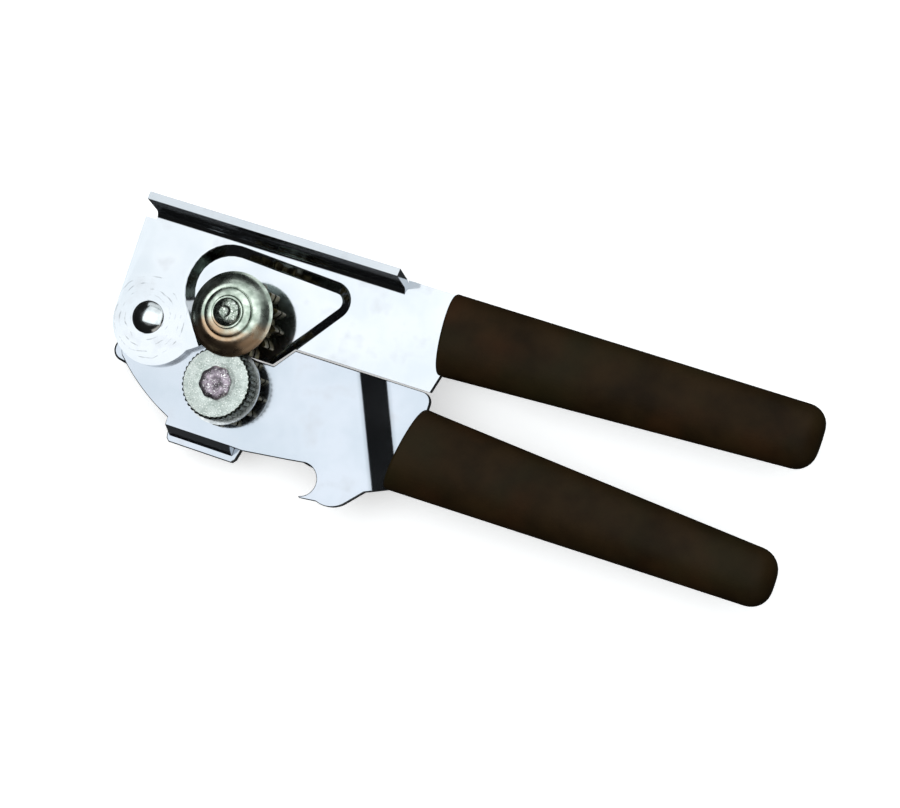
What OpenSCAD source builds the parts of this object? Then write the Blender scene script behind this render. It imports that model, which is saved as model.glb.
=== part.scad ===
// Manual can opener: two plier-like arms, a geared cutter and feed wheel, and a turning key behind the head.
// Millimetres, lying flat with the cutter up: +X runs along the handles, +Y towards the flange, +Z out of the cutter
// side. The shapes are drawn with the pivot at zero, and placed() moves them so that the origin is the middle of the
// underside of the whole object's box.

/* [Arms] */
// Thickness of both sheet-steel arms
sheet_t = 2; // [1.6:0.1:2.4]
// Gap between the two arms where one passes behind the other
arm_gap = 0.1; // [0.05:0.05:0.3]
// From the pivot to the mouths of the grips
mouth_x = 77.4; // [65:0.2:93]
// Radius of the rounded nose around the pivot
nose_r = 11.7; // [10.8:0.1:13]
// Height of the seam between the two arms, above the pivot's level
seam_y = 3.8; // [2.8:0.2:4.6]
// Slit left along the seam
seam_gap = 0.4; // [0.3:0.1:0.8]
// Outside radius of the flange's bend
bend_r = 4.2; // [2.8:0.1:4.6]
// Height of the flange above the back of the sheet
flange_h = 11; // [8:0.5:13]
// Set-back of the flange from the end of the nose
flange_cut = 3.2; // [0:0.1:6]
// Outward lean of the flange
flange_lean = 12; // [0:1:18]
// Flat left between the pocket and the flange's bend
flange_gap = 0.2; // [0.2:0.1:2.5]
// Width of the joggle that brings the lower arm level with the upper one
joggle_w = 7.9; // [6:0.1:9]
// Angle at which the joggle crosses the arm
joggle_angle = 25.4; // [15:0.2:30]

/* [Pocket] */
// Plan width of the pocket's sloped wall
wall_run = 2.4; // [2:0.1:3]
// From the cutter's axis to the middle of the pocket's narrow end
pocket_reach = 21.5; // [18:0.5:26]
// Radius of the pocket's narrow end
pocket_tip_r = 4.8; // [4:0.2:6]
// Room between the gears and the walls around them
gear_room = 1.5; // [1.2:0.1:2]

/* [Gears] */
// Module of the two meshed gears
gear_mod = 1.35; // [1.15:0.05:1.7]
// Teeth on each gear
teeth = 13; // [12:1:15]
// Pressure angle
pressure_angle = 25; // [20:1:27]
// Play between the teeth, measured at the pitch circle
backlash = 0.24; // [0.15:0.01:0.4]
// Thickness of each gear
gear_h = 2.6; // [2:0.1:3.2]

/* [Cutter] */
// Cutter axis, along the handles from the pivot
cutter_x = 24.2; // [22:0.2:27]
// Cutter axis, across the handles from the pivot
cutter_y = 7; // [5.5:0.1:8.5]
// Radius of the cutting edge
cutter_r = 10.8; // [10.2:0.1:11.6]
// Height of the dome above the cutting edge
dome_h = 3.4; // [2.4:0.2:4.4]
// Radius of the stud that the cutter turns on
stud_r = 2.7; // [2.4:0.1:3.3]
// Wall of the sleeve on the stud
hub_wall = 1.25; // [1.1:0.05:1.6]

/* [Feed] */
// Lean of the line from the cutter's axis to the feed wheel's axis
mesh_lean = 5.2; // [0:0.1:7]
// Radius over the feed wheel's serrations
feed_r = 9.2; // [8.4:0.1:9.6]
// Number of serrations
serrations = 40; // [32:1:48]
// Depth of a serration
serration_d = 0.5; // [0.3:0.05:0.7]
// Width of the feed wheel
feed_w = 4.4; // [4:0.1:5.4]
// Radius of the drive shaft
shaft_r = 4; // [3.3:0.1:4.8]
// Wall of the shaft's bushings
bush_wall = 1.2; // [0.9:0.1:1.6]
// Space between the lower arm and the rear bearing plate
bearing_space = 3.1; // [2.6:0.1:4.5]

/* [Crank key] */
// Half of the key's length
key_half = 36.5; // [32:0.5:44]
// Half of the width of each wing
wing_half = 8; // [7:0.5:12]
// Length of each wing
wing_len = 21; // [18:0.5:24]
// Half of the key's width at its middle
waist_half = 6.6; // [6.6:0.2:8]
// Thickness of the key's sheet
key_t = 1.6; // [1.2:0.1:2]
// Depth of the rims folded back around the wings
rim_depth = 6; // [4:0.5:8]
// Resting angle of the key from the line of the handles
key_angle = -10; // [-20:1:20]

/* [Grips] */
// Length of the grips
grip_len = 95.8; // [79:0.2:115]
// Thickness of the grips
grip_t = 12; // [11:0.5:15]
// Width of the upper grip at its mouth
mouth_w = 20.7; // [18:0.1:23]
// Width of the lower grip at its mouth
lower_mouth_w = 21.8; // [18:0.1:24]
// Width of the upper grip at its end
upper_end_w = 15.8; // [13.5:0.1:19]
// Width of the lower grip at its end
lower_end_w = 14; // [13:0.1:19]
// Wall of the grips over the edges of the tangs
grip_wall = 3.5; // [2.5:0.1:4]

/* [Hardware] */
// Radius of the pivot rivet's shank
rivet_r = 3; // [2.4:0.1:3.6]
// Radius of the pivot rivet's domed head
rivet_head_r = 4.2; // [3.8:0.1:5]
// Thickness of the washers
washer_t = 0.4; // [0.3:0.05:0.6]
// Radial play of what turns on a pin or in a bush
run_gap = 0.05; // [0.02:0.01:0.1]
// End play of what turns between two faces
end_gap = 0.1; // [0.05:0.05:0.2]

/* [Hidden] */
$fn = 64;
hull_fn = 32;

// Levels, from the crank side up; the upper arm's back is at zero.
deck = -arm_gap;
lower_back = deck - sheet_t;
rear_top = lower_back - bearing_space;
rear_back = rear_top - sheet_t;
bush_flange = 0.6;
key_washer_top = rear_back - bush_flange - end_gap;
key_top = key_washer_top - washer_t;
key_back = key_top - key_t;
key_low = key_top - rim_depth - key_t;
washer_z = deck + end_gap;
gear_z = washer_z + washer_t;
gear_top = gear_z + gear_h;
collar_z = gear_top + 0.3;
wheel_z = collar_z + 0.6;
wheel_top = wheel_z + feed_w;
edge_gap = 0.25;
edge_z = wheel_top + edge_gap;
dome_top = edge_z + dome_h;
stud_head_h = 1.3;
head_h = 1.8;
back_head_h = 1.5;

// Gears
pitch_r = gear_mod * teeth / 2;
tip_r = pitch_r + gear_mod;
root_r = pitch_r - 1.25 * gear_mod;
base_r = pitch_r * cos(pressure_angle);
flank_steps = 5;
centres = 2 * pitch_r;

// Axes
cutter = [cutter_x, cutter_y];
feed = cutter + centres * [sin(mesh_lean), -cos(mesh_lean)];

// Pocket: lobes given as [x, y, radius of the upper edge]
well_r = tip_r + gear_room;
pocket_lobes = [
    [cutter_x - 6, cutter_y + 5.5, well_r],
    [cutter_x + 1.5, cutter_y - 4, well_r],
    [cutter_x + tip_r + 2.5, cutter_y - 0.5, 4.5],
    [cutter_x + pocket_reach, cutter_y + 11, pocket_tip_r],
];
skin_out = sheet_t * tan(atan((sheet_t + arm_gap) / wall_run) / 2);
floor_low_y = (cutter_y + feed[1]) / 2 + 0.2;

// Upper arm
nose_x = 2.2;
nose_end = -25.2;
pocket_top_y = pocket_lobes[0][1] + well_r;
plate_top = pocket_top_y + flange_gap;
flange_y = plate_top + bend_r;
flange_out = [cos(flange_lean), -sin(flange_lean)];
flange_foot = [plate_top, bend_r] + bend_r * flange_out;
flange_tip = flange_foot + (flange_h - flange_foot[1]) * [tan(flange_lean), 1];
plate_x0 = nose_x - nose_r;
flange_x0 = plate_x0 + flange_cut;
flange_x1 = mouth_x - 14;

// Grips and tangs
grip_mid_z = sheet_t / 2;
grip_top_y = flange_y + 0.4;
grip_end_x = mouth_x + grip_len;
tang_x = mouth_x + 5;
tang_end = grip_end_x - 8;
low_edge = feed[1] - tip_r - 3.9;
upper_mouth = [[mouth_x - 1.5, grip_top_y], [mouth_x + 0.3, grip_top_y - mouth_w]];
upper_end = [grip_top_y, grip_top_y - upper_end_w];
lower_mouth = [[mouth_x + 0.2, low_edge + 2.4 + lower_mouth_w], [mouth_x - 3.6, low_edge + 2.4]];
lower_end = [low_edge + 3.4 + lower_end_w, low_edge + 3.4];

// Eye of the lower arm, which turns beside the pocket's wall
lobe_step = [for (i = [0, 1]) pocket_lobes[1][i] - pocket_lobes[0][i]];
wall_n = [-lobe_step[1], lobe_step[0]] / norm(lobe_step);
eye_room = 0.45;
wall_d = pocket_lobes[0][0] * wall_n[0] + pocket_lobes[0][1] * wall_n[1] - well_r - skin_out - eye_room;
eye_r = min(wall_d, nose_r - nose_x - 0.6);
eye_angle = atan2(wall_n[1], wall_n[0]);
drive_edge = floor_low_y - seam_gap;

// Cap lifter, folded tab and lug
hook_c = [mouth_x - 17.4, low_edge + 0.4];
hook_r = 6.8;
notch_c = [mouth_x - 25.4, low_edge - 2];
notch_r = 4.2;
joggle_x = mouth_x - 15.6;
lug_x = [feed[0] - 14, feed[0] + 6];
lug_y = low_edge - 3.8;
tab_run = 2.4;

// Running sizes that follow from the shafts
hub_r = stud_r + run_gap + hub_wall;
bush_r = shaft_r + run_gap + bush_wall;
neck_r = shaft_r - 0.6;
square_side = shaft_r * 1.35;
spigot_r = stud_r - 0.4;

// Key corners, and the box of the whole object with the pivot at zero
key_corner = 3;
key_reach = (key_half - key_corner) * cos(key_angle) + (wing_half - key_corner) * abs(sin(key_angle))
    + key_corner;
box_x = [min(plate_x0, feed[0] - key_reach), grip_end_x];
box_y = [min(hook_c[1] - hook_r, lug_y), max(grip_top_y, flange_tip[0])];
shift = [-(box_x[0] + box_x[1]) / 2, -(box_y[0] + box_y[1]) / 2, -key_low];

// Points along a circle
function arc(c, r, a0, a1, n = 12) = [for (i = [0:n]) let (a = a0 + (a1 - a0) * i / n) c + r * [cos(a), sin(a)]];

// Points along an arc of radius r from p to q, bulging to the right of the way from p to q
function arc_between(p, q, r, n = 12) =
    let (d = q - p, l = norm(d), c = (p + q) / 2 + sqrt(r * r - l * l / 4) * [-d[1], d[0]] / l,
         a = atan2(p[1] - c[1], p[0] - c[0]), sweep = 2 * asin(l / (2 * r)))
    arc(c, r, a, a + sweep, n);

// Involute gear tooth: half of its angle at radius r
function inv(a) = tan(a) * 180 / PI - a;
function half_tooth(r) = 90 / teeth - backlash / (4 * pitch_r) * 180 / PI + inv(pressure_angle) - inv(acos(base_r / r));
function polar(r, a) = r * [cos(a), sin(a)];
function flank(c, side, up) =
    [for (i = [0:flank_steps]) let (k = up ? i : flank_steps - i, r = max(base_r, root_r)
        + (tip_r - max(base_r, root_r)) * k / flank_steps) polar(r, c + side * half_tooth(r))];
function gear_outline() =
    [for (i = [0:teeth - 1]) let (c = i * 360 / teeth, foot = half_tooth(max(base_r, root_r)))
        each concat([polar(root_r, c - foot)], flank(c, -1, true), flank(c, 1, false), [polar(root_r, c + foot)])];

upper_outline = concat(
    [[plate_x0, plate_top]],
    arc([nose_x, 0], nose_r, 180, 360 + nose_end, 24),
    [[cutter_x - 8.5, -3], [cutter_x - 7.4, floor_low_y], [cutter_x + 10.6, floor_low_y], [cutter_x + 15, seam_y]],
    [[mouth_x + 0.2, seam_y], [mouth_x + 1.5, upper_mouth[1][1] + 0.6]],
    [[tang_x, upper_mouth[1][1] + grip_wall], [tang_end, upper_end[1] + grip_wall]],
    [[tang_end, upper_end[0] - grip_wall], [tang_x, grip_top_y - grip_wall], [mouth_x + 1, flange_y]],
    [[flange_x1, flange_y], [flange_x1, plate_top]]
);

lower_outline = concat(
    arc([0, 0], eye_r, eye_angle, 200, 18),
    arc_between([nose_x - 6.7, 0.5 - nose_r], [feed[0] - 9, low_edge + 0.6], 58),
    [[feed[0] + 9, low_edge], [mouth_x - 30.5, low_edge + 1.5]],
    arc(notch_c, notch_r, 95, -76, 18),
    [notch_c + [0.5, -4.25], notch_c + [1.3, -4.5]],
    arc(hook_c, hook_r, 250, 320, 12),
    [[mouth_x - 8.5, low_edge], lower_mouth[1] + [1.8, 0.3]],
    [[tang_x, lower_mouth[1][1] + grip_wall], [tang_end, lower_end[1] + grip_wall]],
    [[tang_end, lower_end[0] - grip_wall], [tang_x, lower_mouth[0][1] - grip_wall]],
    [[mouth_x + 1, lower_mouth[0][1] - 1]],
    arc([mouth_x - 1.5, seam_y - seam_gap - 2.5], 2.5, 0, 90, 8),
    [[cutter_x + 15.8, seam_y - seam_gap], [cutter_x + 11.6, drive_edge]],
    [[(wall_d - wall_n[1] * drive_edge) / wall_n[0], drive_edge]]
);

module placed() { translate(shift) children(); }
module at(p, z = 0) { translate([p[0], p[1], z]) children(); }

module ring(r_out, r_in, z0, z1) {
    translate([0, 0, z0]) difference() {
        cylinder(r = r_out, h = z1 - z0);
        translate([0, 0, -1]) cylinder(r = r_in, h = z1 - z0 + 2);
    }
}

// Low dome of radius r and height h, standing on z = 0
module dome(r, h) {
    ball = (r * r + h * h) / (2 * h);
    intersection() {
        translate([0, 0, h - ball]) sphere(r = ball);
        cylinder(r = r + 1, h = h + 1);
    }
}

module slab(points, z0, z1) { translate([0, 0, z0]) linear_extrude(z1 - z0) polygon(points); }

// Solid that fills the pocket, between two levels, with its upper edge spread by grow
module pocket_fill(z0, z1, grow) {
    hull() for (l = pocket_lobes)
        at(l, z0) cylinder(r1 = l[2] - wall_run + grow, r2 = l[2] + grow, h = z1 - z0, $fn = hull_fn);
}

// Sheet with the flange's bend, drawn across the arm and run along it
module flange() {
    c = [plate_top, bend_r];
    profile = concat(
        [[plate_top, 0]], arc(c, bend_r, -90, -flange_lean, 8), [flange_tip, flange_tip - sheet_t * flange_out],
        arc(c, bend_r - sheet_t, -flange_lean, -90, 8), [[plate_top, sheet_t]]);
    translate([flange_x0, 0, 0]) rotate([90, 0, 90]) linear_extrude(flange_x1 - flange_x0) polygon(profile);
}

module upper_arm() {
    color("gainsboro") placed() difference() {
        union() {
            slab(upper_outline, 0, sheet_t);
            flange();
            intersection() {
                pocket_fill(lower_back, 0, skin_out);
                slab(upper_outline, lower_back, 0);
                translate([plate_x0, floor_low_y, lower_back]) cube([mouth_x, plate_top, sheet_t + arm_gap]);
            }
        }
        pocket_fill(deck, sheet_t, 0);
        cylinder(r = rivet_r, h = 20, center = true);
        at(cutter) cylinder(r = spigot_r, h = 20, center = true);
    }
}

// Lower arm's sheet: its outline cut from a sheet that steps up along the joggle
module lower_sheet() {
    run = joggle_w / 2;
    far = 200;
    rise = sheet_t + arm_gap;
    profile = [[-far, deck], [-run, deck], [run, sheet_t], [far, sheet_t],
        [far, 0], [run, 0], [-run, lower_back], [-far, lower_back]];
    intersection() {
        slab(lower_outline, lower_back, sheet_t);
        at([joggle_x, seam_y]) rotate(joggle_angle) rotate([90, 0, 0])
            linear_extrude(2 * far, center = true) polygon(profile);
    }
}

// Tab folded down and outwards from the lower arm's edge to the rear plate
module folded_tab() {
    drop = deck - rear_top;
    y = low_edge + 0.1;
    foot = y - tab_run;
    wide = sheet_t * norm([drop, tab_run]) / drop;
    profile = [[y, deck], [foot, rear_top], [foot + wide, rear_top],
        [foot + wide + tab_run * (lower_back - rear_top) / drop, lower_back], [y + wide, deck]];
    translate([lug_x[0] + 1, 0, 0]) rotate([90, 0, 90])
        linear_extrude(lug_x[1] - lug_x[0] - 2) polygon(profile);
}

module lower_arm() {
    color("gainsboro") placed() difference() {
        union() {
            lower_sheet();
            folded_tab();
        }
        cylinder(r = rivet_r + run_gap, h = 20, center = true);
        at(feed) cylinder(r = bush_r, h = 20, center = true);
    }
}

module rear_plate() {
    eye = 9;
    edge = [[lug_x[0] + 0.4, lug_y + 0.8], [lug_x[0] + 1.2, lug_y], [lug_x[1] - 0.8, lug_y], [lug_x[1], lug_y + 1],
        [lug_x[1] + 0.6, lug_y + 3.5], [feed[0] + eye, feed[1]], [feed[0] - eye, feed[1]], [lug_x[0], lug_y + 3]];
    color("gainsboro") placed() difference() {
        union() {
            slab(edge, rear_back, rear_top);
            at(feed, rear_back) cylinder(r = eye, h = sheet_t);
        }
        at(feed) cylinder(r = bush_r, h = 40, center = true);
    }
}

// Rounded bar over a tang, from the slanted line of its mouth to its end
module grip_body(mouth, end) {
    r = grip_t / 2;
    back = 5;
    hull() {
        for (y = [mouth[0][1] - r, mouth[1][1] + r])
            translate([mouth_x - back, y, grip_mid_z]) rotate([0, 90, 0]) cylinder(r = r, h = back, $fn = hull_fn);
        for (y = [end[0] - r, end[1] + r])
            translate([grip_end_x - r, y, grip_mid_z]) sphere(r = r, $fn = hull_fn);
    }
}

module grip_cut(mouth) {
    far = 300;
    slope = (mouth[0] - mouth[1]) / norm(mouth[0] - mouth[1]);
    slab([mouth[0] + far * slope, mouth[1] - far * slope, [far, -far], [far, far]], -50, 50);
}

module upper_grip() {
    color("#2b2018") placed() difference() {
        intersection() {
            grip_body(upper_mouth, upper_end);
            grip_cut(upper_mouth);
        }
        slab(upper_outline, 0, sheet_t);
    }
}

module lower_grip() {
    color("#2b2018") placed() difference() {
        intersection() {
            grip_body(lower_mouth, lower_end);
            grip_cut(lower_mouth);
        }
        lower_sheet();
    }
}

module pivot_rivet() {
    back = lower_back - end_gap - washer_t;
    color("silver") placed() {
        translate([0, 0, back]) cylinder(r = rivet_r, h = sheet_t - back);
        translate([0, 0, sheet_t]) dome(rivet_head_r, head_h);
        translate([0, 0, back]) mirror([0, 0, 1]) dome(rivet_head_r, back_head_h);
    }
}

module pivot_washer() {
    color("silver") placed() ring(rivet_head_r + 2, rivet_r, lower_back - end_gap - washer_t, lower_back - end_gap);
}

module cutter_stud() {
    color("dimgray") placed() at(cutter) {
        translate([0, 0, deck]) cylinder(r = stud_r, h = dome_top + end_gap - deck);
        translate([0, 0, dome_top + end_gap]) dome(hub_r - 0.3, stud_head_h);
        translate([0, 0, lower_back - washer_t]) cylinder(r = spigot_r, h = sheet_t + washer_t);
        translate([0, 0, lower_back - washer_t]) mirror([0, 0, 1]) dome(stud_r + 0.8, back_head_h);
    }
}

module cutter_back_washer() {
    color("silver") placed() at(cutter) ring(stud_r + 2.2, spigot_r, lower_back - washer_t, lower_back);
}

module cutter_wheel() {
    bevel = [cutter_r - 2.2, edge_z + 1.5];
    crown = [hub_r + 1.2, dome_top - 0.3];
    profile = concat(
        [[hub_r, edge_z], [cutter_r, edge_z], [cutter_r, edge_z + 0.1]],
        arc_between(bevel, crown, 9, 8), [[hub_r + 0.8, dome_top], [hub_r, dome_top]]);
    color("#70756c") placed() at(cutter) rotate_extrude() polygon(profile);
}

module gear(bore) {
    translate([0, 0, gear_z]) difference() {
        linear_extrude(gear_h) polygon(gear_outline());
        translate([0, 0, -1]) cylinder(r = bore, h = gear_h + 2);
    }
}

module cutter_gear() {
    color("#5a5440") placed() at(cutter) rotate(mesh_lean - 90) gear(hub_r);
}

module cutter_hub() {
    color("dimgray") placed() at(cutter) ring(hub_r, stud_r + run_gap, gear_z, dome_top);
}

module cutter_thrust_washer() {
    color("silver") placed() at(cutter) ring(hub_r + 1.6, stud_r + run_gap, washer_z, gear_z);
}

module bushing(back, front) {
    ring(bush_r, shaft_r + run_gap, back - bush_flange, front);
    ring(bush_r + 1.5, bush_r, back - bush_flange, back);
}

module feed_bushing() { color("darkgoldenrod") placed() at(feed) bushing(lower_back, deck); }
module rear_bushing() { color("darkgoldenrod") placed() at(feed) bushing(rear_back, rear_top); }

module feed_shaft() {
    peen_h = 1.1;
    color("#8d8790") placed() at(feed) {
        translate([0, 0, key_top]) cylinder(r = shaft_r, h = gear_top - key_top);
        translate([0, 0, gear_top - 1]) cylinder(r = neck_r, h = wheel_top - gear_top + 1 + peen_h);
        translate([0, 0, wheel_top]) rotate(22.5) cylinder(r = neck_r + 1, h = peen_h, $fn = 8);
        rotate(key_angle) translate([-square_side / 2, -square_side / 2, key_back])
            cube([square_side, square_side, key_t + 1]);
        translate([0, 0, key_back]) mirror([0, 0, 1]) dome(shaft_r + 0.5, 1.3);
    }
}

module feed_wheel() {
    step = 360 / serrations;
    points = [for (i = [0:serrations - 1]) each [polar(feed_r, i * step), polar(feed_r - serration_d, (i + 0.5) * step)]];
    color("#b9bdb2") placed() at(feed, wheel_z) difference() {
        linear_extrude(feed_w) polygon(points);
        translate([0, 0, -1]) cylinder(r = neck_r, h = feed_w + 2);
    }
}

module feed_collar() {
    color("silver") placed() at(feed) {
        ring(centres - tip_r - seam_gap, neck_r, gear_top, collar_z);
        ring(feed_r + 0.8, neck_r, collar_z, wheel_z);
    }
}

module feed_gear() {
    color("#5a5440") placed() at(feed) rotate(90 + mesh_lean + 180 / teeth) gear(shaft_r);
}

module feed_thrust_washer() { color("silver") placed() at(feed) ring(bush_r + 1.5, shaft_r, washer_z, gear_z); }

module crank_washer() { color("silver") placed() at(feed) ring(bush_r + 1.5, shaft_r, key_top, key_washer_top); }

// Wing of the key seen from the front, drawn smaller by inset
module wing(inset) {
    r = key_corner - inset;
    long = wing_len / 2 - key_corner;
    wide = wing_half - key_corner;
    square([2 * (long + r), 2 * wide], center = true);
    square([2 * long, 2 * (wide + r)], center = true);
    for (x = [-long, long], y = [-wide, wide]) translate([x, y]) circle(r = r);
}

module crank_key() {
    color("gainsboro") placed() at(feed) rotate(key_angle) difference() {
        union() {
            translate([0, 0, key_back]) linear_extrude(key_t)
                square([2 * (key_half - wing_len + key_corner), 2 * waist_half], center = true);
            for (side = [-1, 1]) translate([side * (key_half - wing_len / 2), 0, key_low])
                linear_extrude(key_top - key_low) wing(0);
        }
        for (side = [-1, 1]) translate([side * (key_half - wing_len / 2), 0, key_low - 1])
            linear_extrude(key_back - key_low + 1) wing(key_t);
        translate([0, 0, key_top]) cube([square_side, square_side, 20], center = true);
    }
}

upper_arm();
upper_grip();
pivot_rivet();
pivot_washer();
cutter_stud();
cutter_back_washer();
cutter_wheel();
cutter_gear();
cutter_hub();
cutter_thrust_washer();
lower_arm();
rear_plate();
lower_grip();
feed_bushing();
rear_bushing();
feed_shaft();
feed_wheel();
feed_collar();
feed_gear();
feed_thrust_washer();
crank_key();
crank_washer();
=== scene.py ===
"""Looks of a manual can opener: chromed arms, dipped grips, a domed cutter, a serrated feed wheel and a turning key.

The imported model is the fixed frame. Every class below dresses one sub-assembly of it: it builds the pieces whose
real surface is richer than the frame's solid, and gives each piece its finish. Sizes are in millimetres and angles in
degrees, unless it is said otherwise.
"""

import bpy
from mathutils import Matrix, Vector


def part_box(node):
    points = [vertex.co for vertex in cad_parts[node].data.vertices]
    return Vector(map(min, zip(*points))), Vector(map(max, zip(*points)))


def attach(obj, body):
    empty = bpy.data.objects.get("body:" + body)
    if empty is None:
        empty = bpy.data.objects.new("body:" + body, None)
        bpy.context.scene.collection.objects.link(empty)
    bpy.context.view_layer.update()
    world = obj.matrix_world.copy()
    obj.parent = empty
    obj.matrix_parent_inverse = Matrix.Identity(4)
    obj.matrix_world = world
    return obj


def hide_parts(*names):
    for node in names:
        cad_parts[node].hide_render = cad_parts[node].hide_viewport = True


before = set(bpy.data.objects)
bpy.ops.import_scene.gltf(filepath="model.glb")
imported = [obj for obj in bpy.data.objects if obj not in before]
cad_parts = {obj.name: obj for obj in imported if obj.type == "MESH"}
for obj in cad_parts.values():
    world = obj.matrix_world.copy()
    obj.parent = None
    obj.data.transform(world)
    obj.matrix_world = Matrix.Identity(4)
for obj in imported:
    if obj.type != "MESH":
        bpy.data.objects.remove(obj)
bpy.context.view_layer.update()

import logging
import math
from dataclasses import dataclass, replace
from enum import Enum
from typing import Callable, Sequence

import bmesh
import bpy
from mathutils import Matrix, Vector

MM = 0.001
LOG = logging.getLogger("can_opener")

Point = tuple[float, float, float]
Flat = tuple[float, float]
Tree = bpy.types.NodeTree
Socket = bpy.types.NodeSocket
Piece = bpy.types.Object
EdgeTest = Callable[[bmesh.types.BMEdge], bool]

# A Mix node's colour sockets: the one that lies under, the one that lies over, and the result.
MIX_UNDER, MIX_OVER, MIX_RESULT = 6, 7, 2

# Distance between two rings of a Wave node of scale 1, in the unit of its coordinates.
WAVE_STEP = 2 * math.pi / 20

# Frame pieces closer together than this are one point of a copied sheet. Its slivers would hold the bevels back.
MERGE_MM = 0.15

# Two faces of a copied sheet with a smaller fold between them, in degrees, are one flat face.
FLAT_FOLD = 0.6

# Points of two rings that lie closer than this are joined.
SEAM_MM = 0.001


class Body(Enum):
    """The four moving bodies that a piece can ride on."""

    UPPER = "upper_handle"
    LOWER = "lower_handle"
    CUTTER = "cutter"
    CRANK = "crank_drive"


class Slot(Enum):
    """The record's material slots."""

    CHROME = "chrome_plate"
    VINYL = "vinyl_grip"
    CUTTER = "cutter_steel"
    GEAR = "gear_steel"
    FEED = "feed_steel"
    SHAFT = "shaft_steel"
    RIVET = "rivet_steel"
    WASHER = "washer_steel"
    BRONZE = "bush_bronze"


# ---------------------------------------------------------------------------------------------- finishes


def hex_to_linear(code: str) -> tuple[float, float, float, float]:
    """Turns an sRGB hex colour into linear RGBA.

    Args:
        code: Six hex digits, such as "f2f4f5".

    Returns:
        Red, green, blue and alpha in linear light.
    """
    parts = [int(code[i : i + 2], 16) / 255 for i in (0, 2, 4)]
    linear = [c / 12.92 if c <= 0.04045 else ((c + 0.055) / 1.055) ** 2.4 for c in parts]
    return (*linear, 1.0)


def add_node(tree: Tree, kind: str, settings: dict | None = None, **links: Socket) -> bpy.types.Node:
    """Adds a node with its settings, values and links.

    Args:
        tree: The node tree to add to.
        kind: The node's type name, such as "ShaderNodeTexNoise".
        settings: Attributes of the node and, under a number or socket name, input values.
        **links: Output sockets to join to the inputs; the key is the input's name in lower case with underscores,
            or in0, in1, in2 for an input by its place.

    Returns:
        The new node.
    """
    node = tree.nodes.new(kind)
    for key, value in (settings or {}).items():
        if isinstance(key, int) or key in node.inputs:
            node.inputs[key].default_value = value
        else:
            setattr(node, key, value)
    by_name = {socket.name.lower().replace(" ", "_"): socket for socket in reversed(node.inputs)}
    for key, source in links.items():
        place = key.removeprefix("in")
        target = node.inputs[int(place)] if place.isdigit() else by_name[key]
        tree.links.new(source, target)
    return node


@dataclass(frozen=True)
class Patches:
    """Blotches of one real size, read as a value.

    Attributes:
        size_mm: Width of a blotch.
        span: Stretch of the raw noise that is spread over the result; a narrow one gives hard edges.
        result: Value where the noise lies below the span, and value where it lies above it.
        detail: Layers of finer noise inside a blotch.
    """

    size_mm: float
    span: Flat = (0.0, 1.0)
    result: Flat = (0.0, 1.0)
    detail: float = 4.0

    def draw(self, tree: Tree, coords: Socket) -> Socket:
        """Draws the blotches.

        Args:
            tree: The material's node tree.
            coords: Coordinates on the piece, in metres.

        Returns:
            Their value.
        """
        scale = 1 / (self.size_mm * MM)
        noise = add_node(tree, "ShaderNodeTexNoise", {"Scale": scale, "Detail": self.detail}, vector=coords)
        limits = dict(zip(("From Min", "From Max", "To Min", "To Max"), self.span + self.result))
        return add_node(tree, "ShaderNodeMapRange", limits, value=noise.outputs["Fac"]).outputs["Result"]


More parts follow.
